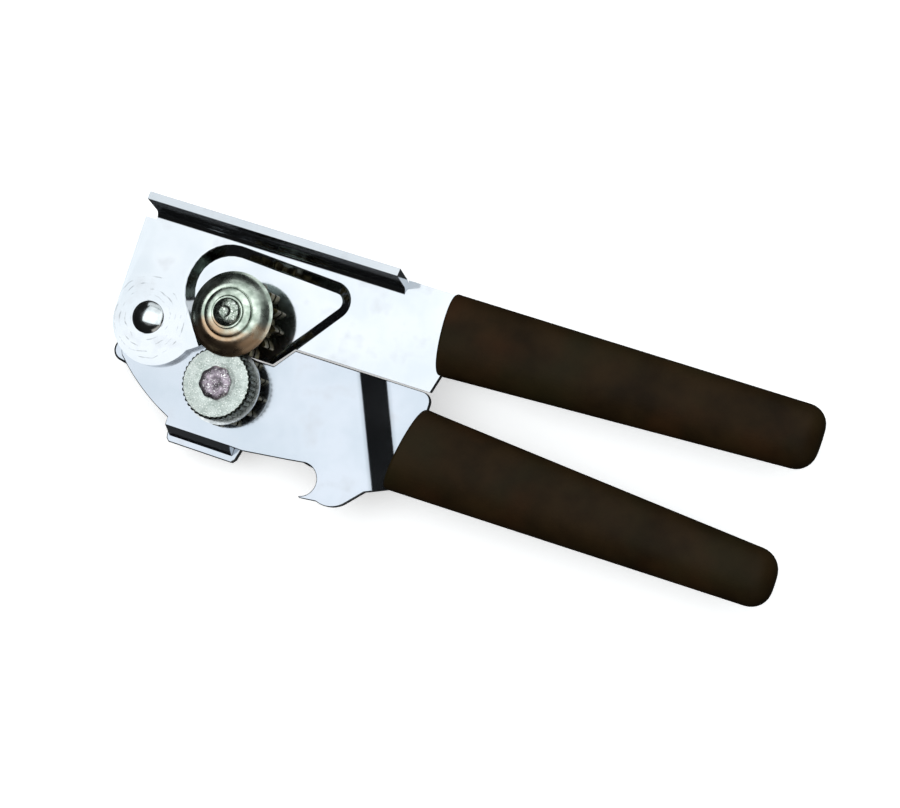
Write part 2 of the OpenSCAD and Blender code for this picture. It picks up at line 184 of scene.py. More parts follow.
@dataclass(frozen=True)
class Finish:
    """A plain metal or plastic surface with grain in its colour, its gloss and its relief.

    Attributes:
        name: Name of the material.
        slot: Record slot that the finish belongs to; not used.
        light: sRGB hex of the lighter tone.
        dark: sRGB hex of the darker tone.
        metallic: How much the surface is metal.
        rough: Lowest and highest roughness.
        grain_mm: Size of the mottling.
        relief_mm: Height of the fine relief.
        relief_grain_mm: Size of the fine relief's grain.
        gloss_grain: Size of the uneven gloss, in grains of the mottling.
    """

    name: str
    slot: Slot
    light: str
    dark: str
    metallic: float = 1.0
    rough: Flat = (0.2, 0.35)
    grain_mm: float = 2.0
    relief_mm: float = 0.01
    relief_grain_mm: float = 0.4
    gloss_grain: float = 1.7

    def colour(self, tree: Tree, coords: Socket) -> Socket:
        """Draws the base colour, mottled between the two tones.

        Args:
            tree: The material's node tree.
            coords: Coordinates on the piece, in metres.

        Returns:
            The colour.
        """
        share = Patches(self.grain_mm, span=(0.35, 0.65)).draw(tree, coords)
        tones = {"data_type": "RGBA", MIX_UNDER: hex_to_linear(self.dark), MIX_OVER: hex_to_linear(self.light)}
        return add_node(tree, "ShaderNodeMix", tones, in0=share).outputs[MIX_RESULT]

    @staticmethod
    def layered(tree: Tree, skin: Socket, *layers: tuple[Socket, str]) -> Socket:
        """Lays colours over a skin, one after the other.

        Args:
            tree: The material's node tree.
            skin: The colour underneath.
            *layers: The share of each layer, from 0 to 1, with its sRGB hex.

        Returns:
            The colour with all its layers.
        """
        for share, code in layers:
            tones = {"data_type": "RGBA", MIX_OVER: hex_to_linear(code)}
            skin = add_node(tree, "ShaderNodeMix", tones, in0=share, in6=skin).outputs[MIX_RESULT]
        return skin

    def roughness(self, tree: Tree, coords: Socket) -> Socket:
        """Draws the uneven roughness."""
        return Patches(self.grain_mm * self.gloss_grain, span=(0.3, 0.7), result=self.rough).draw(tree, coords)

    def height(self, tree: Tree, coords: Socket) -> Socket:
        """Draws the fine relief, from 0 to 1."""
        return Patches(self.relief_grain_mm, detail=3.0).draw(tree, coords)

    def extras(self, shader: bpy.types.Node) -> None:
        """Sets what only some finishes have on the shader."""

    def make(self) -> bpy.types.Material:
        """Builds the material, once.

        Returns:
            The material.
        """
        if self.name in bpy.data.materials:
            return bpy.data.materials[self.name]
        material = bpy.data.materials.new(self.name)
        material.use_nodes = True
        tree = material.node_tree
        tree.nodes.clear()
        coords = add_node(tree, "ShaderNodeTexCoord").outputs["Object"]
        relief = {"Strength": 1.0, "Distance": self.relief_mm * MM}
        bump = add_node(tree, "ShaderNodeBump", relief, height=self.height(tree, coords))
        shader = add_node(
            tree,
            "ShaderNodeBsdfPrincipled",
            {"Metallic": self.metallic},
            base_color=self.colour(tree, coords),
            roughness=self.roughness(tree, coords),
            normal=bump.outputs["Normal"],
        )
        self.extras(shader)
        add_node(tree, "ShaderNodeOutputMaterial", surface=shader.outputs["BSDF"])
        return material

    def dress(self, *pieces: Piece) -> None:
        """Puts the finish on pieces, in place of what they had.

        Args:
            *pieces: The pieces.
        """
        for piece in pieces:
            piece.data.materials.clear()
            piece.data.materials.append(self.make())
            LOG.info("%s: %s", piece.name, self.name)


@dataclass(frozen=True)
class ChromePlate(Finish):
    """Bright chromium over nickel on stamped sheet: a near-mirror that goes white under a broad light, with fine
    scratches and faint wear rings around the pivot.

    Attributes:
        wear_centre: Centre of the wear rings, in metres.
        wear_mm: Radius to which the rings reach.
        wear_ring_mm: Distance between two rings.
        traces: Where the rings are still to be seen.
        smudges: Where fingers left the plate dull.
        smudge: sRGB hex of a smudge.
        score: sRGB hex of a score line.
        score_share: How strongly a score line greys the plate.
        score_height: Height of a score line, in heights of a hair scratch.
        hair_mm: Width of a hair scratch.
        hair_turn: Turn of the hair scratches, in radians.
        hair_stretch: Width of a hair scratch over its length.
    """

    wear_centre: Point = (0.0, 0.0, 0.0)
    wear_mm: float = 10.0
    wear_ring_mm: float = 1.496
    traces: Patches = Patches(2.6, span=(0.5, 0.64))
    smudges: Patches = Patches(7.0, span=(0.56, 0.74), result=(0.0, 0.45), detail=6.0)
    smudge: str = "9d9fa3"
    score: str = "6f7274"
    score_share: float = 0.6
    score_height: float = 0.8
    hair_mm: float = 0.3
    hair_turn: float = 0.7
    hair_stretch: float = 0.06

    def worn(self, tree: Tree, coords: Socket) -> Socket:
        """Draws broken rings worn around the pivot.

        Args:
            tree: The material's node tree.
            coords: Coordinates on the piece, in metres.

        Returns:
            1 where the plate is scored, and 0 where it is whole.
        """
        from_pivot = {"Location": [-c for c in self.wear_centre]}
        local = add_node(tree, "ShaderNodeMapping", from_pivot, vector=coords).outputs[0]
        wavy = {
            "wave_type": "RINGS", "rings_direction": "Z", "Scale": WAVE_STEP / (self.wear_ring_mm * MM),
            "Distortion": 4.5, "Detail": 2.0, "Detail Scale": 0.8,
        }
        rings = add_node(tree, "ShaderNodeTexWave", wavy, vector=local)
        thin = {"From Min": 0.02, "From Max": 0.14, "To Min": 1.0, "To Max": 0.0}
        lines = add_node(tree, "ShaderNodeMapRange", thin, value=rings.outputs["Fac"])
        reach = add_node(tree, "ShaderNodeVectorMath", {"operation": "LENGTH"}, in0=local)
        edge = self.wear_mm * MM
        faded = {"From Min": edge * 0.9, "From Max": edge, "To Min": 1.0, "To Max": 0.0}
        fade = add_node(tree, "ShaderNodeMapRange", faded, value=reach.outputs["Value"])
        times = {"operation": "MULTIPLY"}
        share = add_node(tree, "ShaderNodeMath", times, in0=lines.outputs[0], in1=fade.outputs[0]).outputs[0]
        return add_node(tree, "ShaderNodeMath", times, in0=share, in1=self.traces.draw(tree, coords)).outputs[0]

    def colour(self, tree: Tree, coords: Socket) -> Socket:
        """Draws the cool mottled plate, greyer where it is scored and where fingers left a smudge.

        Args:
            tree: The material's node tree.
            coords: Coordinates on the piece, in metres.

        Returns:
            The colour.
        """
        plate = Finish.colour(self, tree, coords)
        faint = {"operation": "MULTIPLY", 1: self.score_share}
        scored = add_node(tree, "ShaderNodeMath", faint, in0=self.worn(tree, coords)).outputs[0]
        return self.layered(tree, plate, (self.smudges.draw(tree, coords), self.smudge), (scored, self.score))

    def height(self, tree: Tree, coords: Socket) -> Socket:
        """Draws hair scratches, far wider than real ones so that they show, and the score lines around the pivot.

        Args:
            tree: The material's node tree.
            coords: Coordinates on the piece, in metres.

        Returns:
            The height.
        """
        stretched = {"Rotation": (0.0, 0.0, self.hair_turn), "Scale": (self.hair_stretch, 1.0, 1.0)}
        along = add_node(tree, "ShaderNodeMapping", stretched, vector=coords).outputs[0]
        hairs = Patches(self.hair_mm, detail=2.0).draw(tree, along)
        added = {"operation": "MULTIPLY_ADD", 1: self.score_height}
        return add_node(tree, "ShaderNodeMath", added, in0=self.worn(tree, coords), in2=hairs).outputs[0]


@dataclass(frozen=True)
class TurnedSteel(Finish):
    """Hardened steel left from the lathe: concentric tool marks, a green-grey skin and a tan tone over one side.

    Attributes:
        centre: Axis of the turning marks, in metres.
        tan_tone: sRGB hex of the tan tone.
        tan_share: How strongly the tan covers the skin.
        stain_side: Direction, in the disc's plane, to which the tan lies.
        tan_edge_mm: Distance from the axis at which the tan starts.
        tan_fade_mm: Distance over which it reaches its full strength.
        tan_drift_mm: How far its edge wanders to either side.
        tan_lobe_mm: Size of the lobes along its edge.
        ring_mm: Distance between two tool marks, far wider than real ones so that they show.
    """

    centre: Point = (0.0, 0.0, 0.0)
    tan_tone: str = "a98767"
    tan_share: float = 0.85
    stain_side: Point = (0.2, -0.98, 0.0)
    tan_edge_mm: float = 1.5
    tan_fade_mm: float = 4.0
    tan_drift_mm: float = 3.0
    tan_lobe_mm: float = 5.0
    ring_mm: float = 0.982

    def local(self, tree: Tree, coords: Socket) -> Socket:
        """Coordinates from the disc's own axis."""
        return add_node(tree, "ShaderNodeMapping", {"Location": [-c for c in self.centre]}, vector=coords).outputs[0]

    def colour(self, tree: Tree, coords: Socket) -> Socket:
        """Draws the mottled skin, with the tan tone laid over one side of it.

        Args:
            tree: The material's node tree.
            coords: Coordinates on the piece, in metres.

        Returns:
            The colour.
        """
        sideways = {"operation": "DOT_PRODUCT", 1: self.stain_side}
        along = add_node(tree, "ShaderNodeVectorMath", sideways, in0=self.local(tree, coords)).outputs["Value"]
        wander = self.tan_drift_mm * MM
        drift = Patches(self.tan_lobe_mm, span=(0.3, 0.7), result=(-wander, wander)).draw(tree, coords)
        edge = add_node(tree, "ShaderNodeMath", {"operation": "ADD"}, in0=along, in1=drift).outputs[0]
        start = self.tan_edge_mm * MM
        fade = {"From Min": start, "From Max": start + self.tan_fade_mm * MM, "To Max": self.tan_share}
        share = add_node(tree, "ShaderNodeMapRange", fade, value=edge).outputs[0]
        return self.layered(tree, Finish.colour(self, tree, coords), (share, self.tan_tone))

    def height(self, tree: Tree, coords: Socket) -> Socket:
        """Draws concentric tool marks with a little grit.

        Args:
            tree: The material's node tree.
            coords: Coordinates on the piece, in metres.

        Returns:
            The height.
        """
        scale = WAVE_STEP / (self.ring_mm * MM)
        marks = {"wave_type": "RINGS", "rings_direction": "Z", "Scale": scale, "Distortion": 0.4}
        rings = add_node(tree, "ShaderNodeTexWave", marks, vector=self.local(tree, coords)).outputs["Fac"]
        halved = {"operation": "MULTIPLY_ADD", 1: 0.5}
        return add_node(tree, "ShaderNodeMath", halved, in0=rings, in2=Finish.height(self, tree, coords)).outputs[0]


@dataclass(frozen=True)
class SpeckledPlate(Finish):
    """Plated or beaten steel gone dull: a pale skin with fine white and dark specks from its crystals and pits.

    Attributes:
        speck_mm: Size of a speck, larger than a real one so that it shows.
        speck: sRGB hex of the bright specks.
        pit: sRGB hex of the dark specks.
    """

    speck_mm: float = 0.35
    speck: str = "fbfdf8"
    pit: str = "6f776c"

    def colour(self, tree: Tree, coords: Socket) -> Socket:
        """Draws the skin with specks of two kinds.

        Args:
            tree: The material's node tree.
            coords: Coordinates on the piece, in metres.

        Returns:
            The colour.
        """
        bright = Patches(self.speck_mm, span=(0.6, 0.68), result=(0.0, 0.8), detail=1.0).draw(tree, coords)
        dull = Patches(self.speck_mm, span=(0.3, 0.37), result=(0.6, 0.0), detail=1.0).draw(tree, coords)
        return self.layered(tree, Finish.colour(self, tree, coords), (bright, self.speck), (dull, self.pit))


@dataclass(frozen=True)
class DippedVinyl(Finish):
    """Plastisol dipped over the tangs: a deep brown soft skin with a low satin sheen, slightly wavy from the dip and
    rubbed to a warmer brown where hands hold it. Its patches are about as wide as a finger.

    Attributes:
        rubs: Where hands have worn the skin.
        rubbed: sRGB hex of the worn patches.
        grease: Where kitchen grease has greened the skin.
        greasy: sRGB hex of the greened patches.
        wave_mm: Size of the dip's waves.
        wave_height: Height of a wave, in heights of the fine grain.
        specular: Specular level, low as the skin is soft and finely matt.
    """

    rubs: Patches = Patches(16.0, span=(0.5, 0.7), result=(0.0, 0.4), detail=3.0)
    rubbed: str = "3a2312"
    grease: Patches = Patches(21.0, span=(0.34, 0.5), result=(0.4, 0.0), detail=3.0)
    greasy: str = "2a2716"
    wave_mm: float = 9.0
    wave_height: float = 4.0
    specular: float = 0.05

    def colour(self, tree: Tree, coords: Socket) -> Socket:
        """Draws the skin with its rubbed and greasy patches."""
        layers = ((self.rubs.draw(tree, coords), self.rubbed), (self.grease.draw(tree, coords), self.greasy))
        return self.layered(tree, Finish.colour(self, tree, coords), *layers)

    def extras(self, shader: bpy.types.Node) -> None:
        """Lowers the gloss below a hard plastic's."""
        shader.inputs["Specular IOR Level"].default_value = self.specular

    def height(self, tree: Tree, coords: Socket) -> Socket:
        """Draws slow waves of the dip under the fine matt grain.

        Args:
            tree: The material's node tree.
            coords: Coordinates on the piece, in metres.

        Returns:
            The height.
        """
        waves = Patches(self.wave_mm, detail=2.0).draw(tree, coords)
        added = {"operation": "MULTIPLY_ADD", 1: self.wave_height}
        return add_node(tree, "ShaderNodeMath", added, in0=waves, in2=Finish.height(self, tree, coords)).outputs[0]


# ---------------------------------------------------------------------------------------------- the bench


def fold(edge: bmesh.types.BMEdge) -> float:
    """Angle between the two faces of an edge, in degrees."""
    return math.degrees(edge.calc_face_angle(0.0))


def level(edge: bmesh.types.BMEdge) -> float:
    """How nearly level the less level of an edge's two faces is, from 0 to 1."""
    return min(abs(face.normal.z) for face in edge.link_faces)


def box_mm(node: str) -> tuple[Vector, Vector]:
    """Lowest and highest corner of a frame node's box, in millimetres."""
    low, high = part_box(node)
    return low / MM, high / MM


def middle(node: str) -> Vector:
    """Middle of a frame node's box, in millimetres."""
    low, high = box_mm(node)
    return (low + high) / 2


def radius(node: str) -> float:
    """Radius of a round frame node, in millimetres."""
    low, high = box_mm(node)
    return (high.x - low.x) / 2


def around(steps: int) -> list[float]:
    """Angles of evenly spaced points round a circle, in radians."""
    return [2 * math.pi * i / steps for i in range(steps)]


def quarter(steps: int) -> list[float]:
    """Angles from 0 to a right angle, in radians."""
    return [math.pi / 2 * i / steps for i in range(steps + 1)]


class Bench:
    """Modelling by hand, in code: adds, selects and shapes meshes with Blender's own operators."""

    @staticmethod
    def take(piece: Piece) -> None:
        """Selects one piece alone and makes it active.

        Args:
            piece: The piece.
        """
        bpy.ops.object.select_all(action="DESELECT")
        piece.select_set(True)
        bpy.context.view_layer.objects.active = piece

    @staticmethod
    def copy_node(node: str, name: str) -> Piece:
        """Takes a merged copy of a frame node, with its flat faces whole again, to shape further.

        Args:
            node: Name of the frame's node.
            name: Name of the new piece.

        Returns:
            The copy.
        """
        piece = bpy.data.objects.new(name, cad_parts[node].data.copy())
        bpy.context.scene.collection.objects.link(piece)
        Bench.take(piece)
        bpy.ops.object.mode_set(mode="EDIT")
        bpy.ops.mesh.select_all(action="SELECT")
        bpy.ops.mesh.remove_doubles(threshold=MERGE_MM * MM)
        bpy.ops.mesh.dissolve_limited(angle_limit=math.radians(FLAT_FOLD))
        bpy.ops.object.mode_set(mode="OBJECT")
        if piece.data.has_custom_normals:
            bpy.ops.mesh.customdata_custom_splitnormals_clear()
        return piece

    @staticmethod
    def bevel(piece: Piece, test: EdgeTest, width_mm: float, strips: int) -> None:
        """Rounds the edges that pass a test.

        Args:
            piece: The piece to shape.
            test: Says of an edge whether it is rounded.
            width_mm: Width of the rounding.
            strips: Strips across it.
        """
        Bench.take(piece)
        bpy.ops.object.mode_set(mode="EDIT")
        bpy.ops.mesh.select_mode(type="EDGE")
        bpy.ops.mesh.select_all(action="DESELECT")
        mesh = bmesh.from_edit_mesh(piece.data)
        chosen = 0
        for edge in mesh.edges:
            if len(edge.link_faces) == 2 and test(edge):
                edge.select_set(True)
                chosen += 1
        bmesh.update_edit_mesh(piece.data)
        if chosen:
            bpy.ops.mesh.bevel(
                offset=width_mm * MM, offset_type="WIDTH", segments=strips, profile=0.5, clamp_overlap=True
            )
        bpy.ops.object.mode_set(mode="OBJECT")
        LOG.info("%s: %d edges rounded by %.2f mm", piece.name, chosen, width_mm)

    @staticmethod
    def loft(name: str, rings: Sequence[Sequence[Point]]) -> Piece:
        """Draws a closed skin through rings of points, by extruding a circle from ring to ring.

        Args:
            name: Name of the new piece.
            rings: Rings of equally many points, in millimetres of the frame.

        Returns:
            The piece, with its first and last ring filled.
        """
        count = len(rings[0])
        bpy.ops.object.select_all(action="DESELECT")
        bpy.ops.mesh.primitive_circle_add(vertices=count, radius=MM)
        piece = bpy.context.object
        piece.name = piece.data.name = name
        for vertex, place in zip(piece.data.vertices, rings[0]):
            vertex.co = Vector(place) * MM
        bpy.ops.object.mode_set(mode="EDIT")
        bpy.ops.mesh.select_all(action="SELECT")
        bpy.ops.mesh.edge_face_add()
        order = list(range(count))
        for ring in rings[1:]:
            order = Bench.extrude_ring(piece, order, ring)
        bpy.ops.mesh.edge_face_add()
        bpy.ops.mesh.select_all(action="SELECT")
        bpy.ops.mesh.normals_make_consistent(inside=False)
        bpy.ops.object.mode_set(mode="OBJECT")
        return piece

    @staticmethod
    def extrude_ring(piece: Piece, order: Sequence[int], ring: Sequence[Point]) -> list[int]:
        """Extrudes the open ring of a piece in edit mode, and puts the new ring in its place.

        Args:
            piece: The piece, in edit mode.
            order: Vertex numbers of the open ring, in turn.
            ring: Places of the new ring's points, in millimetres of the frame.

        Returns:
            Vertex numbers of the new ring, in turn.
        """
        bpy.ops.mesh.select_all(action="DESELECT")
        mesh = bmesh.from_edit_mesh(piece.data)
        mesh.verts.ensure_lookup_table()
        turn_at = {tuple(round(c, 9) for c in mesh.verts[index].co): turn for turn, index in enumerate(order)}
        members = set(order)
        for edge in mesh.edges:
            if edge.verts[0].index in members and edge.verts[1].index in members:
                edge.select_set(True)
        bmesh.update_edit_mesh(piece.data)
        bpy.ops.mesh.extrude_edges_move()
        mesh = bmesh.from_edit_mesh(piece.data)
        mesh.verts.ensure_lookup_table()
        fresh = [0] * len(order)
        for vertex in mesh.verts:
            if vertex.select:
                fresh[turn_at[tuple(round(c, 9) for c in vertex.co)]] = vertex.index
        for index, place in zip(fresh, ring):
            mesh.verts[index].co = Vector(place) * MM
        bmesh.update_edit_mesh(piece.data)
        return fresh

    @staticmethod
    def turn(name: str, axis: Vector, profile: Sequence[Flat], steps: int = 96) -> Piece:
        """Turns a profile about an upright axis.

        Args:
            name: Name of the new piece.
            axis: A point of the axis, in millimetres.
            profile: Radius and height in turn, from the first cap to the last.
            steps: Facets round the axis.

        Returns:
            The piece.
        """
        rings = [[(axis.x + r * math.cos(a), axis.y + r * math.sin(a), z) for a in around(steps)] for r, z in profile]
        return Bench.loft(name, rings)

    @staticmethod
    def open_bore(piece: Piece) -> None:
        """Makes a tube of a lofted piece whose last ring lies on its first: takes both caps out and joins the rings.

        Args:
            piece: The piece.
        """
        Bench.take(piece)
        bpy.ops.object.mode_set(mode="EDIT")
        bpy.ops.mesh.select_mode(type="FACE")
        bpy.ops.mesh.select_all(action="DESELECT")
        mesh = bmesh.from_edit_mesh(piece.data)
        for face in mesh.faces:
            face.select_set(len(face.verts) > 4)
        bmesh.update_edit_mesh(piece.data)
        bpy.ops.mesh.delete(type="ONLY_FACE")
        bpy.ops.mesh.select_mode(type="VERT")
        bpy.ops.mesh.select_all(action="SELECT")
        bpy.ops.mesh.remove_doubles(threshold=SEAM_MM * MM)
        bpy.ops.mesh.normals_make_consistent(inside=False)
        bpy.ops.object.mode_set(mode="OBJECT")

    @staticmethod
    def seat(piece: Piece, shade: float, body: Body, finish: Finish, node: str) -> None:
        """Smooths and dresses a piece, puts it on its body and lets it stand for a frame node.

        Args:
            piece: The finished piece.
            shade: Greatest fold that is shaded smooth.
            body: The body that it rides on.
            finish: Its finish.
            node: The frame node that it stands for.
        """
        Bench.take(piece)
        bpy.ops.object.shade_smooth_by_angle(angle=math.radians(shade))
        weighted = piece.modifiers.new("flat faces", "WEIGHTED_NORMAL")
        weighted.keep_sharp = True
        weighted.weight = 80
        bpy.ops.object.modifier_apply(modifier=weighted.name)
        finish.dress(piece)
        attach(piece, body.value)
        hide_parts(node)
        LOG.info("%s: %d faces, stands for %s", piece.name, len(piece.data.polygons), node)


# ---------------------------------------------------------------------------------------------- sub-assemblies


@dataclass(frozen=True)
class Palette:
    """Every finish of the opener.

    Attributes:
        chrome: The upper arm.
        shaded_chrome: The lower arm, the rear bearing plate and the turning key, in a darker copy of the chrome that
            is painted shade.
        vinyl: The grips.
        cutter_steel: The cutter and its sleeve.
        stud_steel: The stud that the cutter turns on.
        gear_steel: Both gears.
        feed_steel: The feed wheel's faces.
        knurl_shade_steel: The feed wheel's serrated side.
        shaft_steel: The drive shaft.
        rivet_steel: The pivot rivet.
        washer_steel: The washers and the feed wheel's collar.
        bronze: The bushes.
    """

    chrome: ChromePlate
    shaded_chrome: ChromePlate
    vinyl: DippedVinyl
    cutter_steel: TurnedSteel
    stud_steel: SpeckledPlate
    gear_steel: Finish
    feed_steel: SpeckledPlate
    # knurl_shade_steel: The feed wheel's serrated side, darkened as painted shade.
    knurl_shade_steel: Finish
    shaft_steel: SpeckledPlate
    rivet_steel: Finish
    washer_steel: Finish
    bronze: Finish


@dataclass
class SheetWork:
    """The stamped sheet-steel pieces, with rolled edges, a drawn pocket and a joggled lower arm.

    Attributes:
        palette: The finishes.
        edge: Rounding of the stamped edges.
        sharp: Least fold of a stamped edge.
        lip: Rounding of the pocket's lip and foot.
        lip_folds: Least and greatest fold of the pocket's edges.
        lip_level: Least level of the faces beside them.
        bend: Rounding of the joggle's bends.
        bend_folds: Least and greatest fold of the joggle's bends.
        bend_level: Least level of the faces beside them.
        rim: Rounding of the key's folded rims.
        shade: Greatest fold that is shaded smooth.
    """

    palette: Palette
    edge: float = 0.45
    sharp: float = 50.0
    lip: float = 0.9
    lip_folds: Flat = (25.0, 60.0)
    lip_level: float = 0.6
    bend: float = 1.6
    bend_folds: Flat = (10.0, 30.0)
    bend_level: float = 0.9
    rim: float = 2.6
    shade: float = 40.0

    def is_lip(self, edge: bmesh.types.BMEdge) -> bool:
        """Whether an edge is the pocket's lip or foot."""
        return self.lip_folds[0] < fold(edge) < self.lip_folds[1] and level(edge) > self.lip_level

    def is_bend(self, edge: bmesh.types.BMEdge) -> bool:
        """Whether an edge is a bend of the joggle."""
        return self.bend_folds[0] < fold(edge) < self.bend_folds[1] and level(edge) > self.bend_level

    def is_rim(self, edge: bmesh.types.BMEdge) -> bool:
        """Whether an edge is a rim of the key's front face."""
        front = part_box("crank_key")[1].z
        return fold(edge) > self.sharp and all(abs(end.co.z - front) < 0.01 * MM for end in edge.verts)

    def stamp(
        self, node: str, name: str, body: Body, finish: ChromePlate, *rolls: tuple[EdgeTest, float, int]
    ) -> None:
        """Rounds and seats one stamped piece.

        Args:
            node: The frame node that it is made from and stands for.
            name: Name of the piece.
            body: The body that it rides on.
            finish: Its finish.
            *rolls: What is rounded before the stamped edges, each as the edges' test, the width and the strips.
        """
        piece = Bench.copy_node(node, name)
        for test, width, strips in (*rolls, (lambda edge: fold(edge) > self.sharp, self.edge, 3)):
            Bench.bevel(piece, test, width, strips)
        Bench.seat(piece, self.shade, body, finish, node)

    def build(self) -> None:
        """Makes the two arms, the rear bearing plate and the turning key."""
        # The lower arm, the rear plate and the key take a darker copy of the chrome: painted shade under the upper
        # arm.
        chrome, shaded_chrome = self.palette.chrome, self.palette.shaded_chrome
        self.stamp("upper_arm", "upper_arm_sheet", Body.UPPER, chrome, (self.is_lip, self.lip, 4))
        self.stamp("lower_arm", "lower_arm_sheet", Body.LOWER, shaded_chrome, (self.is_bend, self.bend, 6))
        self.stamp("rear_plate", "rear_bearing_plate", Body.LOWER, shaded_chrome)
        self.stamp("crank_key", "turning_key", Body.CRANK, shaded_chrome, (self.is_rim, self.rim, 5))


@dataclass
class Grip:
    """A dipped vinyl grip: a soft-edged bar that narrows to a blunt end, with a rolled mouth.

    Attributes:
        node: The frame node that it stands for.
        body: The body that it rides on.
        mouth: The two ends of the mouth's line, upper first, in the frame's millimetres.
        end: The upper and lower edge at the grip's end.
        end_x: Where the grip ends.
        height: Height of its middle plane.
        thick: Thickness at the mouth.
        thins: Share of the thickness that is lost towards the end.
        end_round: How far the blunt end is rounded back.
        mouth_round: How far the mouth is rolled in.
        mouth_depth: How far the skin turns in behind the rolled mouth.
        mouth_gap: Where the first plain station lies, in lengths of the blunt end.
        squareness: Shape of the section, where 2 is an ellipse and more is squarer.
        around: Points round the section.
        along: Stations along the grip.
        mouth_steps: Stations round the rolled mouth.
        end_steps: Stations round the blunt end.
        shade: Greatest fold that is shaded smooth.
    """

    node: str
    body: Body
    mouth: tuple[Flat, Flat]
    end: Flat
    end_x: float
    height: float
    thick: float
    thins: float = 0.08
    end_round: float = 5.0
    mouth_round: float = 0.9
    mouth_depth: float = 0.5
    mouth_gap: float = 0.2
    squareness: float = 2.1
    around: int = 72
    along: int = 26
    mouth_steps: int = 5
    end_steps: int = 8
    shade: float = 60.0

    @classmethod
    def on_frame(cls, node: str, body: Body, slant: float, end_wide: float, fall: float) -> "Grip":
        """Fits a grip to the box of its frame node.

        Args:
            node: The frame node that it stands for.
            body: The body that it rides on.
            slant: How much further along the lower end of the mouth lies than its upper end.
            end_wide: Width of the grip at its end.
            fall: How far the upper edge comes down on the way to the end.

        Returns:
            The grip, ready to build.
        """
        low, high = box_mm(node)
        mouth = ((low.x + max(-slant, 0.0), high.y), (low.x + max(slant, 0.0), low.y))
        end = (high.y - fall, high.y - fall - end_wide)
        return cls(node, body, mouth, end, high.x, (low.z + high.z) / 2, high.z - low.z)

    def section(self, share: float, inset: float, push: float) -> list[Point]:
        """One ring of the grip.

        Args:
            share: Place along the grip, from 0 at the mouth to 1 at the end.
            inset: How far the ring is drawn in.
            push: How far it is moved back along the grip.

        Returns:
            The ring's points.
        """
        (top_x, top_y), (low_x, low_y) = self.mouth
        top = top_y + (self.end[0] - top_y) * share
        low = low_y + (self.end[1] - low_y) * share
        half = (top - low) / 2 - inset
        deep = self.thick / 2 * (1 - self.thins * share) - inset
        slope = (top_x - low_x) / (top_y - low_y)
        power = 2 / self.squareness
        ring = []
        for a in around(self.around):
            y = (top + low) / 2 + half * math.copysign(abs(math.cos(a)) ** power, math.cos(a))
            z = self.height + deep * math.copysign(abs(math.sin(a)) ** power, math.sin(a))
            start = low_x + slope * (y - low_y)
            ring.append((start + (self.end_x - start) * share + push, y, z))
        return ring

    def build(self, vinyl: DippedVinyl) -> None:
        """Draws the grip and dresses it.

        Args:
            vinyl: Its finish.
        """
        rings = [self.section(0, self.mouth_round + 2 * self.mouth_depth, self.mouth_depth)]
        for a in quarter(self.mouth_steps):
            rings.append(self.section(0, self.mouth_round * (1 - math.sin(a)), self.mouth_round * (1 - math.cos(a))))
        blunt = self.end_round / (self.end_x - self.mouth[0][0])
        start = blunt * self.mouth_gap
        for i in range(1, self.along):
            rings.append(self.section(start + (1 - blunt - start) * i / self.along, 0, 0))
        for a in quarter(self.end_steps):
            rings.append(self.section(1 - blunt * (1 - math.sin(a)), self.end_round * (1 - math.cos(a)), 0))
        Bench.seat(Bench.loft(self.node + "_dip", rings), self.shade, self.body, vinyl, self.node)


@dataclass
class Pivot:
    """The rivet that the two arms turn on, with its domed head.

    Attributes:
        palette: The finishes.
        shank: Radius of the shank.
        head_round: Height of the head's upright rim.
        half_sheet: Half of the upper arm's thickness.
        dome: Places of the dome's rings, as shares of its radius.
        shade: Greatest fold that is shaded smooth.
    """

    palette: Palette
    shank: float = 3.0
    head_round: float = 0.25
    half_sheet: float = 1.0
    dome: tuple[float, ...] = (0.97, 0.92, 0.84, 0.72, 0.58, 0.42, 0.24, 0.05)
    shade: float = 38.0

    def build(self) -> None:
        """Turns the rivet."""
        low, high = box_mm("pivot_rivet")
        head = radius("pivot_rivet")
        sheet_top = middle("upper_grip").z + self.half_sheet
        back_head = [(0.1, low.z), (2.2, low.z + 0.28), (3.6, low.z + 0.9), (head, low.z + 1.5)]
        shank = [(self.shank, low.z + 1.52), (self.shank, sheet_top - 0.02)]
        rim = [(head - 0.1, sheet_top), (head, sheet_top + self.head_round)]
        rise = high.z - sheet_top - self.head_round
        ball = (head * head + rise * rise) / (2 * rise)
        cap = [(head * share, high.z - ball + math.sqrt(ball * ball - (head * share) ** 2)) for share in self.dome]
        piece = Bench.turn("pivot_rivet_head", middle("pivot_rivet"), back_head + shank + rim + cap)
        Bench.seat(piece, self.shade, Body.UPPER, self.palette.rivet_steel, "pivot_rivet")
        self.palette.washer_steel.dress(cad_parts["pivot_washer"])


@dataclass
class Gear:
    """A gear with the edges of its teeth rounded.

    Attributes:
        node: The frame node that it is made from and stands for.
        name: Name of the piece.
        body: The body that it rides on.
        corner: Rounding of the teeth's edges.
        sharp: Least fold of an edge that is rounded.
        shade: Greatest fold that is shaded smooth.
    """

    node: str
    name: str
    body: Body
    corner: float = 0.16
    sharp: float = 60.0
    shade: float = 35.0

    def build(self, steel: Finish) -> None:
        """Rounds the teeth and dresses the gear.

        Args:
            steel: Its finish.
        """
        piece = Bench.copy_node(self.node, self.name)
        Bench.bevel(piece, lambda edge: fold(edge) > self.sharp, self.corner, 2)
        Bench.seat(piece, self.shade, self.body, steel, self.node)


